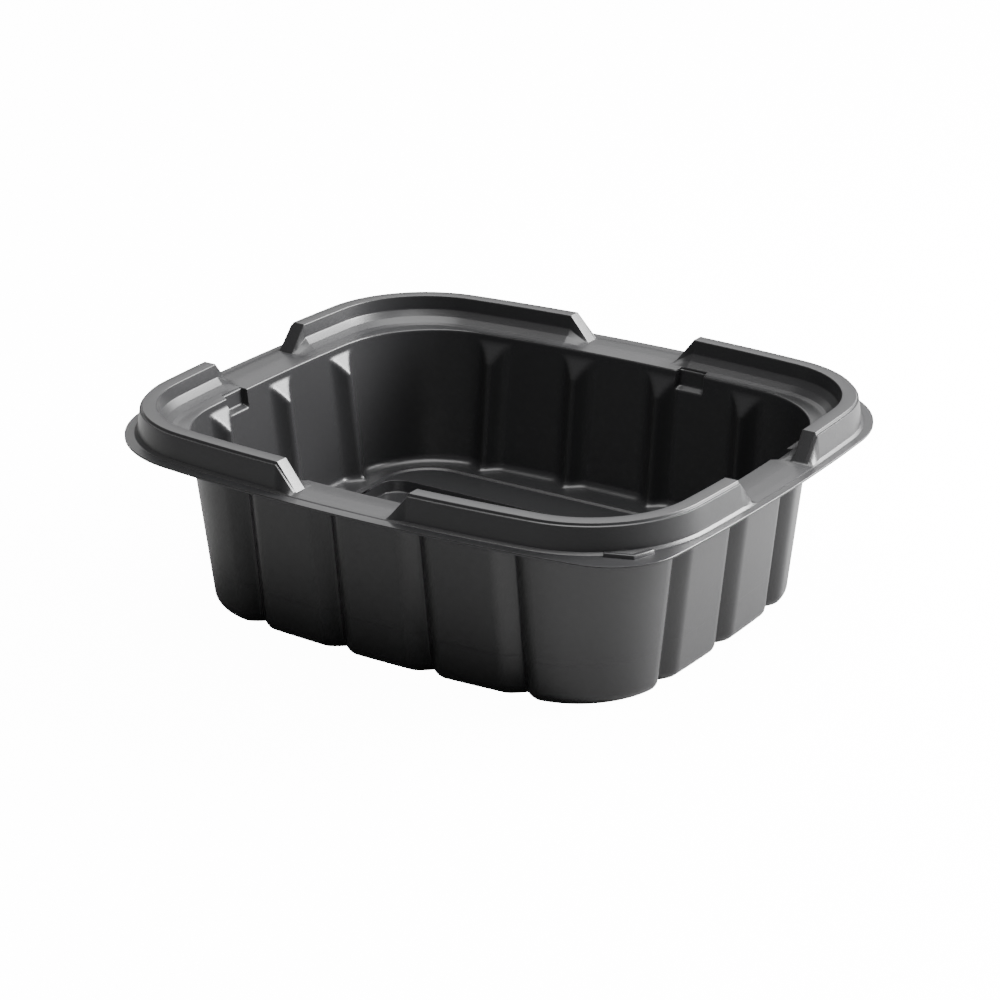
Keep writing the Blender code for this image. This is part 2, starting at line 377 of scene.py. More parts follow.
@dataclass(frozen=True)
class RimShape:
    """The flange and the raised bead with its four gaps, in millimetres.

    Args:
        rim: Outline of the bead's foot.
        flange: Outline of the cut edge.
        tab_radius: Radius of the cut edge at the lifting tab's corner.
        flange_drop: Depth of the flange below the bead's top.
        gap_foot: Distance from a side's middle to the foot of the bead's sloping end.
        gap_top: Distance from a side's middle to the top of that end.
        crown_rise: How far the flange rises in the gaps.
        edge_inset: Distance from the cut edge to the line beside it.
        tab_band: How far in from the cut edge a line still follows the tab.
        rounding_steps: Stretches in each rounding of the profile.
    """

    rim: Outline = Outline(90.0, 76.7, 34.9)
    flange: Outline = Outline(93.9, 81.6, 38.4)
    tab_radius: float = 21.0
    flange_drop: float = 8.0
    gap_foot: float = 15.35
    gap_top: float = 21.45
    crown_rise: float = 0.4
    edge_inset: float = 0.12
    tab_band: float = 0.5
    rounding_steps: int = 4

    def levels(self, stations: Stations) -> list[Level]:
        """List the lines of the rim.

        Args:
            stations: Where the lines have their points.

        Returns:
            The lines from the cut edge in to the foot of the bead's inner sweep.
        """
        drop = self.flange_drop
        crown = drop - self.crown_rise
        # Each corner of a profile is given as (outwards from the rim, drop, radius).
        bead = [
            (3.2, drop, 0.0),
            (1.8, drop, 0.45),
            (1.0, 7.25, 0.35),
            (0.06, 0.85, 0.15),
            (-0.4, 0.7, 0.12),
            (-0.7, 0.0, 0.25),
            (-4.8, 0.0, 0.4),
            (-5.3, 4.05, 0.9),
            (-6.9, 5.9, 0.8),
            (-8.6, 7.35, 0.7),
            (-9.9, 7.85, 1.0),
            (-10.9, 8.05, 0.0),
        ]
        gap = [
            (3.2, drop, 0.0),
            (1.9, drop, 0.12),
            (1.5, drop - 0.2, 0.15),
            (0.0, crown + 0.04, 0.4),
            (-0.5, crown + 0.02, 0.1),
            (-1.0, crown + 0.01, 0.1),
            (-4.6, crown, 0.5),
            (-5.4, crown + 0.03, 0.3),
            (-6.9, crown + 0.12, 0.5),
            (-8.4, crown + 0.25, 0.5),
            (-9.7, crown + 0.38, 0.5),
            (-10.9, drop + 0.08, 0.0),
        ]
        found = []
        for inset in (0.0, self.edge_inset):
            edge = self.flange.grown(-inset)
            found.append(Level(edge, drop, edge, drop, stations))
        steps = self.rounding_steps
        for (out, fall), (gap_out, gap_fall) in zip(rounded(bead, steps), rounded(gap, steps)):
            lines = (self.rim.grown(out), fall, self.rim.grown(gap_out), gap_fall)
            found.append(Level(*lines, stations, outside_tub=True))
        return found


@dataclass(frozen=True)
class TubShape:
    """The grooved walls of the tub and its stacking recesses, in millimetres.

    Args:
        edge: Outline of the tub's upper edge.
        height: Height of the bead's top above the table.
        sheet: Thickness of the walls and the floor.
        edge_drop: Depth of the tub's edge below the bead's top, as every drop here.
        edge_round: Radius of the edge's rounding.
        long_draft: How far the long walls come in from edge to table.
        short_draft: How far the short walls come in.
        radius_draft: How much smaller the corner radius gets.
        floor_height: Height of the raised floor above the table.
        floor_round: Radius of the rounding from the walls to the floor.
        groove_pitch: Distance between neighbouring grooves.
        groove_half_width: Distance from a groove's middle to its shoulder.
        groove_depth: Depth of a groove at its middle.
        groove_shape: Power that curves a groove's flanks.
        groove_nose: Rounding of a groove's middle.
        groove_shoulder: Flat left beside a groove's shoulder.
        groove_blend: Rounding between a groove and the facet at its top.
        groove_lip: Drop where the facet starts.
        groove_top: Drop where the facet's slope starts.
        groove_start: Depth of the facet at that place.
        groove_tip: Drop where the facet reaches the groove's full depth.
        long_grooves: Number of grooves in a long wall.
        short_grooves: Number of grooves in a short wall.
        recess_depth: How far a stacking recess moves the wall outwards.
        recess_side: Length of the slope at each end of a recess.
        recess_margin: Room kept free of other points beside that slope.
        long_recess: Where the recess of a long wall begins and ends.
        short_recess: Where the recess of a short wall begins and ends.
        shelf_top: Drop where a recess starts to run out.
        shelf_foot: Drop where it has run out.
        fine_step: Longest distance between lines near the grooves' tops.
        fine_margin: How far past the grooves' tips the lines stay that close.
        plain_step: Longest distance between lines below.
        edge_steps: Stretches in the rounding of the edge.
        shelf_steps: Stretches in the run-out of a recess.
        recess_steps: Stretches in the slope at each end of a recess.
        turn_steps: Stretches in a rounding from the walls inwards.
    """

    edge: Outline = Outline(78.5, 65.6, 32.0)
    height: float = 60.5
    sheet: float = 0.6
    edge_drop: float = 8.1
    edge_round: float = 0.45
    long_draft: float = 6.0
    short_draft: float = 5.8
    radius_draft: float = 5.6
    floor_height: float = 10.8
    floor_round: float = 2.6
    groove_pitch: float = 29.35
    groove_half_width: float = 5.3
    groove_depth: float = 3.4
    groove_shape: float = 1.5
    groove_nose: float = 0.45
    groove_shoulder: float = 0.35
    groove_blend: float = 0.18
    groove_lip: float = 10.2
    groove_top: float = 11.0
    groove_start: float = 0.3
    groove_tip: float = 16.5
    long_grooves: int = 4
    short_grooves: int = 3
    recess_depth: float = 1.8
    recess_side: float = 0.6
    recess_margin: float = 0.3
    long_recess: tuple[float, float] = (-29.0, -19.2)
    short_recess: tuple[float, float] = (15.6, 25.6)
    shelf_top: float = 12.6
    shelf_foot: float = 13.9
    fine_step: float = 0.45
    fine_margin: float = 1.5
    plain_step: float = 5.0
    edge_steps: int = 5
    shelf_steps: int = 6
    recess_steps: int = 4
    turn_steps: int = 8

    @property
    def long_reach(self) -> float:
        """Distance from the middle of a long side to its last groove's far shoulder."""
        return (self.long_grooves - 1) / 2 * self.groove_pitch + self.groove_half_width

    @property
    def short_reach(self) -> float:
        """Distance from the middle of a short side to its last groove's far shoulder."""
        return (self.short_grooves - 1) / 2 * self.groove_pitch + self.groove_half_width

    @property
    def floor_drop(self) -> float:
        """Depth of the raised floor below the bead's top."""
        return self.height - self.floor_height

    def reach(self, side: Side) -> float:
        """Measure from the middle of a side to the start of its corner's points.

        Args:
            side: The side.

        Returns:
            The distance.
        """
        return self.long_reach if side.is_long else self.short_reach

    def middles(self, side: Side) -> list[float]:
        """List the places of a side's grooves.

        Args:
            side: The side.

        Returns:
            Their distances from its middle.
        """
        count = self.long_grooves if side.is_long else self.short_grooves
        return [(k - (count - 1) / 2) * self.groove_pitch for k in range(count)]

    def outline_at(self, drop: float) -> Outline:
        """Draw the wall in by its draft.

        Args:
            drop: Depth below the bead's top.

        Returns:
            The wall's outline at that depth, without its grooves.
        """
        share = (drop - self.edge_drop) / (self.height - self.edge_drop)
        return replace(
            self.edge,
            half_x=self.edge.half_x - self.short_draft * share,
            half_y=self.edge.half_y - self.long_draft * share,
            radius=self.edge.radius - self.radius_draft * share,
        )

    def groove_at(self, side: Side, places: np.ndarray, drops: np.ndarray) -> np.ndarray:
        """Measure how far the grooves move the wall inwards.

        Args:
            side: The side that the places are on.
            places: Distances along it from its middle.
            drops: Depths below the bead's top.

        Returns:
            The inward distance at each place.
        """
        middles = np.array(self.middles(side))
        nearest = np.min(np.abs(places[:, None] - middles[None, :]), axis=1)
        nose = self.groove_nose
        flank = self.groove_half_width - self.groove_shoulder
        share = np.clip(1 - (np.hypot(nearest, nose) - nose) / flank, 0, 1)
        valley = self.groove_depth * share**self.groove_shape
        past_tip = 2 * self.groove_tip - self.groove_top
        stops = (self.groove_lip, self.groove_top, self.groove_tip, past_tip)
        rise = self.groove_depth - self.groove_start
        depths = (0.0, self.groove_start, self.groove_depth, self.groove_depth + rise)
        facet = np.interp(drops, stops, depths)
        return np.maximum(soft_least(valley, facet, self.groove_blend), 0.0)

    def recess_at(self, side: Side, places: np.ndarray) -> np.ndarray:
        """Measure how far the stacking recess moves the wall outwards.

        Args:
            side: The side that the places are on.
            places: Distances along it from its middle.

        Returns:
            The outward distance at each place.
        """
        low, high = self.long_recess if side.is_long else self.short_recess
        inside = np.minimum(places - low, high - places)
        return self.recess_depth * soft_step(inside / self.recess_side)

    def with_recess(self, side: Side, places: list[float]) -> list[float]:
        """Put places close together where a side's stacking recess begins and ends.

        Args:
            side: The side.
            places: Its other places.

        Returns:
            The places, in no order.
        """
        low, high = self.long_recess if side.is_long else self.short_recess
        step = self.recess_side
        room = self.recess_margin
        for start in (low, high - step):
            places = [p for p in places if not start - room < p < start + step + room]
            places += spaced(start, start + step, step / self.recess_steps)
        return places

    def levels(self, stations: Stations) -> list[Level]:
        """List the lines of the wall, from the tub's edge down and round into the floor.

        Args:
            stations: Where the lines have their points.

        Returns:
            The lines in order.
        """
        found = []

        def add(outline: Outline, drop: float, grooves: float, recesses: float) -> None:
            """Add one line that is the same in the gaps as elsewhere.

            Args:
                outline: Its outline.
                drop: Its depth below the bead's top.
                grooves: Share of the grooves that it follows.
                recesses: Share of the stacking recesses that it follows.
            """
            found.append(Level(outline, drop, outline, drop, stations, grooves, recesses))

        turn = self.edge_round
        for k in range(self.edge_steps + 1):
            angle = math.radians(90 * k / self.edge_steps)
            outset = turn * (1 - math.sin(angle))
            drop = self.edge_drop + turn * (1 - math.cos(angle))
            add(self.outline_at(drop).grown(outset), drop, 1.0, 1.0)
        start = self.edge_drop + turn
        for drop in spaced(start, self.shelf_top, self.fine_step)[1:]:
            add(self.outline_at(drop), drop, 1.0, 1.0)
        steps = self.shelf_steps
        for k in range(1, steps + 1):
            drop = self.shelf_top + (self.shelf_foot - self.shelf_top) * k / steps
            add(self.outline_at(drop), drop, 1.0, float(1 - soft_step(np.array(k / steps))))
        fine_end = self.groove_tip + self.fine_margin
        for drop in spaced(self.shelf_foot, fine_end, self.fine_step)[1:]:
            add(self.outline_at(drop), drop, 1.0, 0.0)
        last = self.floor_drop - self.floor_round
        for drop in spaced(fine_end, last, self.plain_step)[1:]:
            add(self.outline_at(drop), drop, 1.0, 0.0)
        for outline, drop in self.turned_in(self.floor_drop, self.floor_round):
            add(outline, drop, 1.0, 0.0)
        return found

    def turned_in(self, bottom: float, radius: float) -> list[tuple[Outline, float]]:
        """Round the wall inwards to a level bottom.

        Args:
            bottom: Depth of the bottom below the bead's top.
            radius: Radius of the rounding.

        Returns:
            The outlines and depths of the rounding's lines, after its start.
        """
        corner = self.outline_at(bottom - radius)
        found = []
        for k in range(1, self.turn_steps + 1):
            angle = math.radians(90 * k / self.turn_steps)
            inset = radius * (1 - math.cos(angle))
            found.append((corner.grown(-inset), bottom - radius * (1 - math.sin(angle))))
        return found


@dataclass(frozen=True)
class FloorShape:
    """The floor's shallow sunk panel and the well in the panel, in millimetres.

    Args:
        panel: Outline of the panel.
        well: Outline of the well.
        panel_depth: Depth of the panel below the floor.
        well_depth: Depth of the well below the panel.
        well_lean: How far the well's sides come in from top to bottom.
        panel_spread: Share of the distance along long and short sides that the panel's
            points keep.
        well_spread: The same for the well's points.
        rounding_steps: Stretches in each rounding of the profiles.
    """

    panel: Outline = Outline(65.8, 51.2, 15.0, bow=0.01)
    well: Outline = Outline(64.5, 37.0, 6.0, bow=0.01)
    panel_depth: float = 0.5
    well_depth: float = 3.6
    well_lean: float = 0.8
    panel_spread: tuple[float, float] = (0.98, 0.94)
    well_spread: tuple[float, float] = (0.96, 0.7)
    rounding_steps: int = 5

    def levels(self, tub: TubShape, plain: Stations) -> list[Level]:
        """List the lines of the floor, from its panel in to the bottom of the well.

        Args:
            tub: The tub whose floor it is.
            plain: Where the lines have their points.

        Returns:
            The lines in order.
        """
        top = tub.floor_drop
        low = top + self.panel_depth
        bottom = low + self.well_depth
        # Each corner of a profile is given as (outwards from its outline, drop, radius).
        edge = [(0.8, top, 0.0), (0.2, top, 0.5), (-0.7, low, 0.5), (-1.2, low, 0.0)]
        well = [
            (0.3, low, 0.0),
            (0.0, low, 0.5),
            (-self.well_lean, bottom, 0.7),
            (-2.5, bottom, 0.0),
        ]
        found = []
        bands = ((self.panel, edge, self.panel_spread), (self.well, well, self.well_spread))
        for base, corners, spread in bands:
            for out, drop in rounded(corners, self.rounding_steps):
                line = base.grown(out)
                found.append(Level(line, drop, line, drop, plain, spread=spread))
        return found


@dataclass(frozen=True)
class FootShape:
    """The foot that carries the walls on below the floor, in millimetres.

    Args:
        wall: Its thickness.
        outset: Distance from the walls' inner face out to its own inner face.
        top_drop: Depth of its top below the bead's top.
        lip: How far above that its first line lies.
        turn: Radius of its rounding to the table.
        line_step: Longest distance between its lines.
    """

    wall: float = 0.5
    outset: float = 0.103
    top_drop: float = 45.5
    lip: float = 0.02
    turn: float = 3.4
    line_step: float = 4.0

    def levels(self, tub: TubShape, stations: Stations) -> list[Level]:
        """List the lines of the foot, from inside the wall's thickness down to the table.

        Args:
            tub: The tub that it carries on.
            stations: Where the lines have their points.

        Returns:
            The lines in order.
        """
        bottom = tub.height - self.wall
        drops = [self.top_drop - self.lip]
        drops += spaced(self.top_drop, bottom - self.turn, self.line_step)
        lines = [(tub.outline_at(drop), drop) for drop in drops]
        lines += tub.turned_in(bottom, self.turn)
        found = []
        for line, drop in lines:
            outline = line.grown(self.outset)
            found.append(Level(outline, drop, outline, drop, stations, grooves=1.0))
        return found


@dataclass(frozen=True)
class SheetGrain:
    """A shader node group: the faint texture of thin moulded plastic.

    Args:
        name: The group's name.
        grain_scale: Scale of its fine grain.
        grain_detail: Detail of its fine grain.
        grain_share: Height of the grain beside that of the waves.
        wave_scale: Scale of its slow waves.
        wave_detail: Detail of its slow waves.
        base: Least roughness, where a material gives none.
        spread: Range of the roughness, where a material gives none.
    """

    name: str = "sheet_grain"
    grain_scale: float = 900.0
    grain_detail: float = 3.0
    grain_share: float = 0.12
    wave_scale: float = 22.0
    wave_detail: float = 1.5
    base: float = 0.3
    spread: float = 0.08

    def build(self) -> bpy.types.NodeTree:
        """Make the group, or find it if it is there already.

        Returns:
            The group, with a height and a roughness that change over the surface.
        """
        if self.name in bpy.data.node_groups:
            return bpy.data.node_groups[self.name]
        group = bpy.data.node_groups.new(self.name, "ShaderNodeTree")
        face = group.interface
        inputs = {
            "Grain Scale": self.grain_scale,
            "Wave Scale": self.wave_scale,
            "Base": self.base,
            "Range": self.spread,
        }
        for label, value in inputs.items():
            socket = face.new_socket(label, in_out="INPUT", socket_type="NodeSocketFloat")
            socket.default_value = value
        face.new_socket("Height", in_out="OUTPUT", socket_type="NodeSocketFloat")
        face.new_socket("Roughness", in_out="OUTPUT", socket_type="NodeSocketFloat")
        nodes, links = group.nodes, group.links
        entry = nodes.new("NodeGroupInput")
        leave = nodes.new("NodeGroupOutput")
        place = nodes.new("ShaderNodeTexCoord")
        grain = nodes.new("ShaderNodeTexNoise")
        grain.inputs["Detail"].default_value = self.grain_detail
        wave = nodes.new("ShaderNodeTexNoise")
        wave.inputs["Detail"].default_value = self.wave_detail
        mix = nodes.new("ShaderNodeMath")
        mix.operation = "MULTIPLY_ADD"
        mix.inputs[1].default_value = self.grain_share
        rough = nodes.new("ShaderNodeMath")
        rough.operation = "MULTIPLY_ADD"
        links.new(place.outputs["Object"], grain.inputs["Vector"])
        links.new(place.outputs["Object"], wave.inputs["Vector"])
        links.new(entry.outputs["Grain Scale"], grain.inputs["Scale"])
        links.new(entry.outputs["Wave Scale"], wave.inputs["Scale"])
        links.new(grain.outputs["Fac"], mix.inputs[0])
        links.new(wave.outputs["Fac"], mix.inputs[2])
        links.new(mix.outputs[0], leave.inputs["Height"])
        links.new(wave.outputs["Fac"], rough.inputs[0])
        links.new(entry.outputs["Range"], rough.inputs[1])
        links.new(entry.outputs["Base"], rough.inputs[2])
        links.new(rough.outputs[0], leave.inputs["Roughness"])
        return group


@dataclass(frozen=True)
class SatinBlack:
    """Black moulded polypropylene, satin with a soft sheen.

    Args:
        name: The material's name.
        base: Its colour.
        roughness: Its least roughness.
        roughness_range: How much the roughness varies over the sheet.
        relief: Height of the sheet's faint waves, in metres.
        refraction: Its index of refraction.
    """

    name: str
    base: tuple[float, float, float] = (0.019, 0.019, 0.02)
    roughness: float = 0.27
    roughness_range: float = 0.10
    relief: float = 0.00012
    refraction: float = 1.49

    def build(self) -> bpy.types.Material:
        """Make the material.

        Returns:
            The material, with its grain group feeding roughness and bump.
        """
        material = bpy.data.materials.new(self.name)
        material.use_nodes = True
        nodes, links = material.node_tree.nodes, material.node_tree.links
        shader = nodes["Principled BSDF"]
        shader.inputs["Base Color"].default_value = (*self.base, 1.0)
        shader.inputs["IOR"].default_value = self.refraction
        grain = nodes.new("ShaderNodeGroup")
        grain.node_tree = SheetGrain().build()
        grain.inputs["Base"].default_value = self.roughness
        grain.inputs["Range"].default_value = self.roughness_range
        bump = nodes.new("ShaderNodeBump")
        bump.inputs["Distance"].default_value = self.relief
        bump.inputs["Strength"].default_value = 1.0
        links.new(grain.outputs["Height"], bump.inputs["Height"])
        links.new(bump.outputs["Normal"], shader.inputs["Normal"])
        links.new(grain.outputs["Roughness"], shader.inputs["Roughness"])
        return material


@dataclass
class Tray:
    """The whole tray: rim, tub and floor as one skin, and the foot below it.

    Args:
        rim: The rim's sizes.
        tub: The tub's sizes.
        floor: The floor's sizes.
        foot: The foot's sizes.
        finish: The plastic's finish.
        rim_step: Longest distance between points along the rim, in millimetres.
        gap_room: Room kept free of other points beside the ends of the bead's slopes.
        gap_guard: Distance to the points on either side of such an end.
        wall_step: Longest distance between points along the wall.
        floor_step: Longest distance between points along the floor.
        closest: Least distance between points along the rim and the wall.
        floor_closest: Least distance between points along the floor.
        corner_count: Points round each corner of the rim and the wall.
        floor_corner_count: Points round each corner of the floor.
        sharp_angle: Angle in degrees above which an edge stays sharp.
    """

    rim: RimShape = field(default_factory=RimShape)
    tub: TubShape = field(default_factory=TubShape)
    floor: FloorShape = field(default_factory=FloorShape)
    foot: FootShape = field(default_factory=FootShape)
    finish: SatinBlack = SatinBlack("satin_black_sheet")
    rim_step: float = 2.2
    gap_room: float = 0.8
    gap_guard: float = 0.3
    wall_step: float = 0.95
    floor_step: float = 6.0
    closest: float = 0.05
    floor_closest: float = 1.0
    corner_count: int = 30
    floor_corner_count: int = 18
    sharp_angle: float = 50.0

    def rim_stations(self) -> Stations:
        """Place points evenly along the rim, with more at the gaps' and recesses' ends.

        Returns:
            The stations of the flange and the bead.
        """
        found = []
        for side in (Side.FRONT, Side.RIGHT):
            reach = self.tub.reach(side)
            places = spaced(-reach, reach, self.rim_step)
            for edge in (self.rim.gap_foot, self.rim.gap_top):
                for middle in (-edge, edge):
                    places = [p for p in places if abs(p - middle) > self.gap_room]
                    places += [middle - self.gap_guard, middle, middle + self.gap_guard]
            found.append(merged(self.tub.with_recess(side, places), self.closest))
        return Stations(found[0], found[1], self.corner_count)

    def wall_stations(self) -> Stations:
        """Place points that follow the grooves and the stacking recesses.

        Returns:
            The stations of the tub's wall and the foot.
        """
        found = []
        for side in (Side.FRONT, Side.RIGHT):
            reach = self.tub.reach(side)
            places = self.tub.with_recess(side, spaced(-reach, reach, self.wall_step))
            found.append(merged(places, self.closest))
        return Stations(found[0], found[1], self.corner_count)

    def floor_stations(self) -> Stations:
        """Place a few points along each side, one of them opposite each groove.

        Returns:
            The stations of the floor's panel and well.
        """
        found = []
        for side in (Side.FRONT, Side.RIGHT):
            reach = self.tub.reach(side)
            places = spaced(-reach, reach, self.floor_step) + self.tub.middles(side)
            found.append(merged(places, self.floor_closest))
        return Stations(found[0], found[1], self.floor_corner_count)

    def side_points(self, level: Level, side: Side) -> Line:
        """Work out a line's points along one side.

        Args:
            level: The line.
            side: The side.

        Returns:
            The points in metres, each with its key in the order round the line.
        """
        places = level.stations.on(side)
        along = places * level.spread[0 if side.is_long else 1]
        rim = self.rim
        share = np.clip((np.abs(places) - rim.gap_foot) / (rim.gap_top - rim.gap_foot), 0.0, 1.0)
        out = share * level.bead.out_at(side, along) + (1 - share) * level.gap.out_at(side, along)
        drop = share * level.bead_drop + (1 - share) * level.gap_drop
        if level.grooves:
            out = out - level.grooves * self.tub.groove_at(side, places, drop)
        if level.recesses:
            out = out + level.recesses * self.tub.recess_at(side, places)
        if level.outside_tub:
            recess = self.tub.recess_at(side, places)
            least = self.tub.edge.out_at(side, along) + recess + self.tub.edge_round
            out = np.where(recess > 0, np.maximum(out, least), out)
        turn = side.value * math.pi / 2
        x = (along * math.cos(turn) + out * math.sin(turn)) * MM
        y = (along * math.sin(turn) - out * math.cos(turn)) * MM
        z = (self.tub.height - drop) * MM
        keys = 2 * side.value + (places / self.tub.reach(side) + 1) / 2
        return [(float(k), (float(a), float(b), float(c))) for k, a, b, c in zip(keys, x, y, z)]

    def corner_points(self, level: Level, side: Side) -> Line:
        """Work out a line's points round the corner that follows a side.

        Args:
            level: The line.
            side: The side before the corner.

        Returns:
            The points in metres, each with its key in the order round the line.
        """
        outline = level.bead
        rim = self.rim
        if side is Side.FRONT and outline.half_y > rim.flange.half_y - rim.tab_band:
            radius = outline.radius - rim.flange.radius + rim.tab_radius
            outline = replace(outline, radius=radius)
        line = outline.quarter()
        x_end = self.tub.long_reach * level.spread[0]
        y_end = self.tub.short_reach * level.spread[1]
        first = (x_end, np.interp(x_end, line[:, 0], line[:, 1]))
        last = (np.interp(y_end, line[::-1, 1], line[::-1, 0]), y_end)
        between = [p for p in line if p[0] > first[0] and p[1] > last[1]]
        path = np.vstack([first, *between, last])
        travelled = np.concatenate([[0.0], np.cumsum(np.hypot(*np.diff(path, axis=0).T))])
        stops = np.linspace(0.0, travelled[-1], level.stations.corner + 2)[1:-1]
        x = np.interp(stops, travelled, path[:, 0])
        y = np.interp(stops, travelled, path[:, 1])
        if not side.is_long:
            x, y = x[::-1], y[::-1]
        x_sign, y_sign = side.signs
        z = (self.tub.height - level.bead_drop) * MM
        found = []
        for number, (a, b) in enumerate(zip(x, y), start=1):
            key = 2 * side.value + 1 + number / (len(stops) + 1)
            found.append((key, (float(x_sign * a * MM), float(y_sign * b * MM), z)))
        return found

    def add_sheet(
        self, name: str, levels: list[Level], closed: bool, wall: float
    ) -> bpy.types.Object:
        """Join lines into a skin, thicken it outwards and dress it.

        Args:
            name: The piece's name.
            levels: Its lines in order.
            closed: Whether the middle of the last line is filled.
            wall: Its thickness in millimetres.

        Returns:
            The piece's object.
        """
        skin = Skin()
        for level in levels:
            line = []
            for side in Side:
                line += self.side_points(level, side)
                line += self.corner_points(level, side)
            skin.add(line)
        if closed:
            skin.close()
        mesh = bpy.data.meshes.new(name)
        mesh.from_pydata(skin.points, [], skin.faces)
        mesh.materials.append(self.finish.build())
        mesh.shade_smooth()
        mesh.set_sharp_from_angle(angle=math.radians(self.sharp_angle))
        piece = bpy.data.objects.new(name, mesh)
        bpy.context.scene.collection.objects.link(piece)
        thick = piece.modifiers.new("thickness", "SOLIDIFY")
        thick.thickness = wall * MM
        thick.offset = -1.0
        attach(piece, "root")
        LOG.info("%s: %d lines, %d faces", name, len(levels), len(skin.faces))
        return piece

    def build(self) -> bpy.types.Object:
        """Build the tray's sheet and its foot.

        Returns:
            The sheet's object, which replaces the solid.
        """
        wall = self.wall_stations()
        levels = self.rim.levels(self.rim_stations()) + self.tub.levels(wall)
        levels += self.floor.levels(self.tub, self.floor_stations())
        sheet = self.add_sheet("formed_sheet", levels, True, self.tub.sheet)
        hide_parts("tray")
        self.add_sheet("foot_ring", self.foot.levels(self.tub, wall), False, self.foot.wall)
        return sheet


@dataclass
class TabRidge:
    """The chevron ridge on the lifting tab, in millimetres.

    Args:
        path: The three corners of its middle line in plan.
        flange_z: Height of the flange's top.
        height: How far the ridge rises above it.
        root: How far the ridge reaches into it.
        base_width: Its width at the root.
        top_width: Its width at the top.
        softness: Width of its softened edges.
        soft_segments: Stretches in each softened edge.
        finish: The plastic's finish.
    """

    path: tuple[tuple[float, float], ...] = ((76.2, -67.8), (83.4, -65.2), (85.6, -59.2))
    flange_z: float = 52.5
    height: float = 1.0
    root: float = 0.3
    base_width: float = 2.4
    top_width: float = 1.2
    softness: float = 0.25
    soft_segments: int = 4
    finish: SatinBlack = SatinBlack("satin_black_ridge")

    def build(self) -> bpy.types.Object:
        """Build the ridge as a mitred bar with softened edges.

        Returns:
            The ridge's object.
        """
        path = [np.array(p) for p in self.path]
        normals = []
        for first, last in zip(path, path[1:]):
            along = (last - first) / np.hypot(*(last - first))
            normals.append(np.array([along[1], -along[0]]))
        mitre = normals[0] + normals[1]
        mitre = mitre / (mitre @ normals[0])
        offsets = (normals[0], mitre, normals[1])
        points = []
        low, high = self.flange_z - self.root, self.flange_z + self.height
        for width, z in ((self.base_width, low), (self.top_width, high)):
            outer = [p + o * width / 2 for p, o in zip(path, offsets)]
            inner = [p - o * width / 2 for p, o in zip(path, offsets)]
            points += [(x * MM, y * MM, z * MM) for x, y in outer + inner[::-1]]
        ring = 2 * len(path)
        faces = [tuple(range(ring, 2 * ring)), tuple(range(ring - 1, -1, -1))]
        faces += [(k, (k + 1) % ring, (k + 1) % ring + ring, k + ring) for k in range(ring)]
        mesh = bpy.data.meshes.new("tab_ridge")
        mesh.from_pydata(points, [], faces)
        mesh.materials.append(self.finish.build())
        mesh.shade_smooth()
        ridge = bpy.data.objects.new("tab_ridge", mesh)
        bpy.context.scene.collection.objects.link(ridge)
        soften = ridge.modifiers.new("soft_edges", "BEVEL")
        soften.width = self.softness * MM
        soften.segments = self.soft_segments
        soften.limit_method = "ANGLE"
        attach(ridge, "root")
        LOG.info("ridge: %d faces before its edges are softened", len(faces))
        return ridge


@dataclass(frozen=True)
class SoftLight:
    """One rectangular studio light.

    Args:
        name: Its name.
        place: Where it stands, in metres.
        aim: The point it faces.
        size: Its width and height.
        power: Its power in watts.
    """

    name: str
    place: tuple[float, float, float]
    aim: tuple[float, float, float]
    size: tuple[float, float]
    power: float

    def build(self) -> bpy.types.Object:
        """Make the light.

        Returns:
            The light's object.
        """
        data = bpy.data.lights.new(self.name, "AREA")
        data.shape = "RECTANGLE"
        data.size, data.size_y = self.size
        data.energy = self.power
        light = bpy.data.objects.new(self.name, data)
        light.location = self.place
        direction = Vector(self.aim) - Vector(self.place)
        light.rotation_mode = "QUATERNION"
        light.rotation_quaternion = direction.to_track_quat("-Z", "Y")
        light.visible_camera = False
        bpy.context.scene.collection.objects.link(light)
        return light


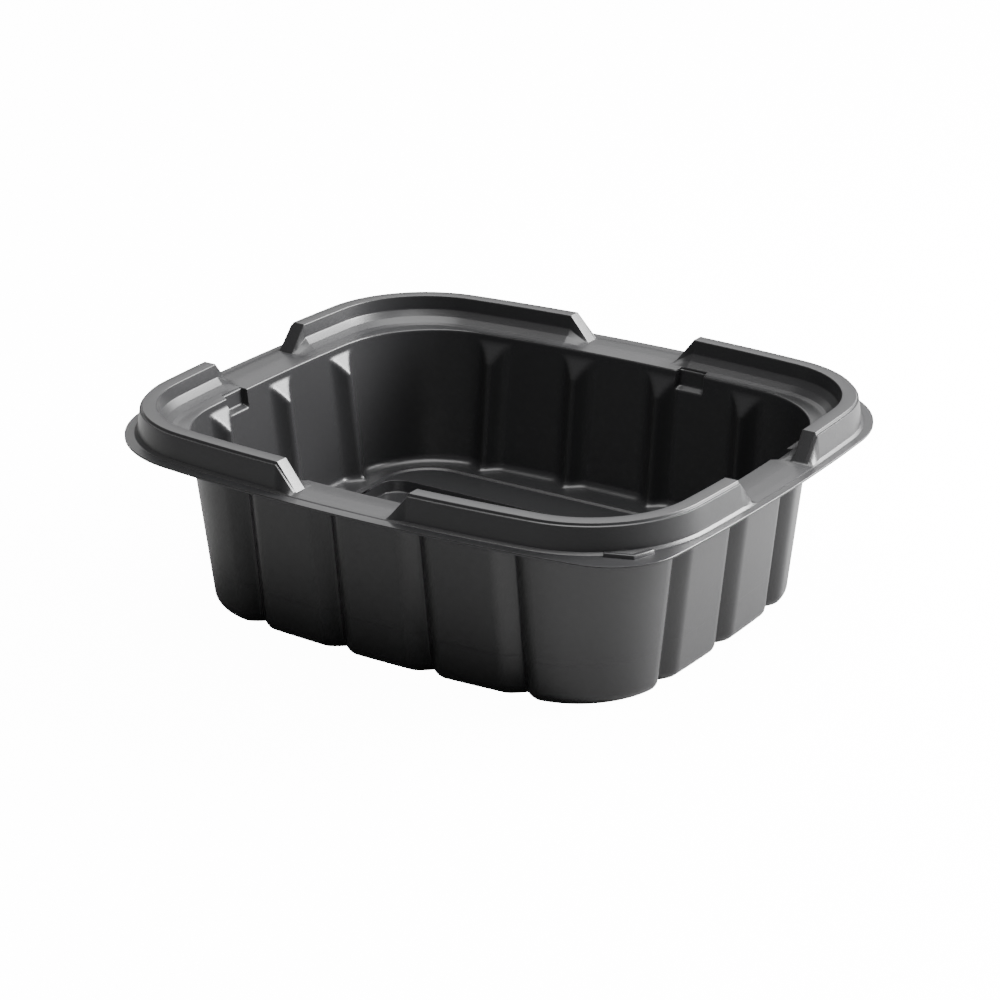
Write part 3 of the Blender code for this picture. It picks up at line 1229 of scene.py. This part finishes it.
@dataclass
class Studio:
    """The plain pale floor, the soft lights and the camera.

    Args:
        floor_half: Half the floor's width, in metres.
        floor_colour: Its colour.
        floor_roughness: Its roughness.
        floor_specular: Its specular level.
        floor_glow: Its glow where the camera sees it.
        backdrop: Brightness of the sky where the camera sees it.
        sky: Brightness of the sky as a light.
        camera_place: Where the camera stands, in metres.
        camera_yaw: Its turn about the upright axis, in radians.
        camera_pitch: How far it looks down.
        camera_roll: Its turn about its line of sight.
        camera_lens: Its focal length in millimetres.
        camera_sensor: Width of its sensor in millimetres.
        camera_near: Nearest distance that it sees, in metres.
        lights: The lights.
    """

    floor_half: float = 3.0
    floor_colour: tuple[float, float, float] = (0.42, 0.42, 0.42)
    floor_roughness: float = 0.6
    floor_specular: float = 0.2
    floor_glow: float = 14.0
    backdrop: float = 15.0
    sky: float = 0.22
    camera_place: tuple[float, float, float] = (0.46540, -0.70136, 0.36186)
    camera_yaw: float = 0.5861
    camera_pitch: float = 0.3767
    camera_roll: float = -0.0068
    camera_lens: float = 114.08
    camera_sensor: float = 36.0
    camera_near: float = 0.01
    lights: tuple[SoftLight, ...] = (
        SoftLight("back_panel", (-0.62, 0.95, 0.80), (0.0, 0.0, 0.05), (1.3, 0.62), 5.5),
        SoftLight("right_panel", (0.62, 0.98, 0.50), (0.0, 0.0, 0.05), (0.9, 0.7), 24.0),
        SoftLight("low_panel", (0.50, 0.45, 0.42), (0.22, 0.20, 0.0), (0.35, 0.35), 22.0),
        SoftLight("top_panel", (0.0, 0.1, 1.4), (0.0, 0.0, 0.0), (1.2, 1.2), 34.0),
    )

    def build_floor(self) -> bpy.types.Object:
        """Make the floor, which glows only where the camera sees it.

        Returns:
            The floor's object.
        """
        half = self.floor_half
        mesh = bpy.data.meshes.new("studio_floor")
        corners = [(-half, -half, 0.0), (half, -half, 0.0), (half, half, 0.0), (-half, half, 0.0)]
        mesh.from_pydata(corners, [], [(0, 1, 2, 3)])
        material = bpy.data.materials.new("pale_floor")
        material.use_nodes = True
        shader = material.node_tree.nodes["Principled BSDF"]
        shader.inputs["Base Color"].default_value = (*self.floor_colour, 1.0)
        shader.inputs["Roughness"].default_value = self.floor_roughness
        shader.inputs["Specular IOR Level"].default_value = self.floor_specular
        shader.inputs["Emission Color"].default_value = (1.0, 1.0, 1.0, 1.0)
        nodes, links = material.node_tree.nodes, material.node_tree.links
        seen = nodes.new("ShaderNodeLightPath")
        glow = nodes.new("ShaderNodeMath")
        glow.operation = "MULTIPLY"
        glow.inputs[1].default_value = self.floor_glow
        links.new(seen.outputs["Is Camera Ray"], glow.inputs[0])
        links.new(glow.outputs[0], shader.inputs["Emission Strength"])
        mesh.materials.append(material)
        floor = bpy.data.objects.new("studio_floor", mesh)
        bpy.context.scene.collection.objects.link(floor)
        return floor

    def build_sky(self) -> None:
        """Light the room evenly from all round, brighter where the camera sees it."""
        world = bpy.data.worlds.new("studio_sky")
        world.use_nodes = True
        nodes, links = world.node_tree.nodes, world.node_tree.links
        background = nodes["Background"]
        background.inputs["Color"].default_value = (1.0, 1.0, 1.0, 1.0)
        seen = nodes.new("ShaderNodeLightPath")
        strength = nodes.new("ShaderNodeMapRange")
        strength.inputs["To Min"].default_value = self.sky
        strength.inputs["To Max"].default_value = self.backdrop
        links.new(seen.outputs["Is Camera Ray"], strength.inputs["Value"])
        links.new(strength.outputs["Result"], background.inputs["Strength"])
        bpy.context.scene.world = world

    def build_camera(self) -> bpy.types.Object:
        """Place the camera where the photographer's stood.

        Returns:
            The camera's object.
        """
        data = bpy.data.cameras.new("photo_camera")
        data.sensor_width = self.camera_sensor
        data.lens = self.camera_lens
        data.clip_start = self.camera_near
        camera = bpy.data.objects.new("photo_camera", data)
        turn = (
            Matrix.Rotation(self.camera_yaw, 4, "Z")
            @ Matrix.Rotation(math.pi / 2 - self.camera_pitch, 4, "X")
            @ Matrix.Rotation(self.camera_roll, 4, "Z")
        )
        camera.matrix_world = Matrix.Translation(self.camera_place) @ turn
        bpy.context.scene.collection.objects.link(camera)
        bpy.context.scene.camera = camera
        return camera

    def build(self) -> None:
        """Set up the floor, the sky, the lights and the camera."""
        self.build_floor()
        self.build_sky()
        for light in self.lights:
            light.build()
        self.build_camera()
        LOG.info("studio: %d lights", len(self.lights))


def main() -> None:
    """Load the frame, dress the tray and set up the studio."""
    logging.basicConfig(level=logging.INFO, format="%(name)s %(message)s")
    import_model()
    Tray().build()
    TabRidge().build()
    Studio().build()


if __name__ == "__main__":
    main()
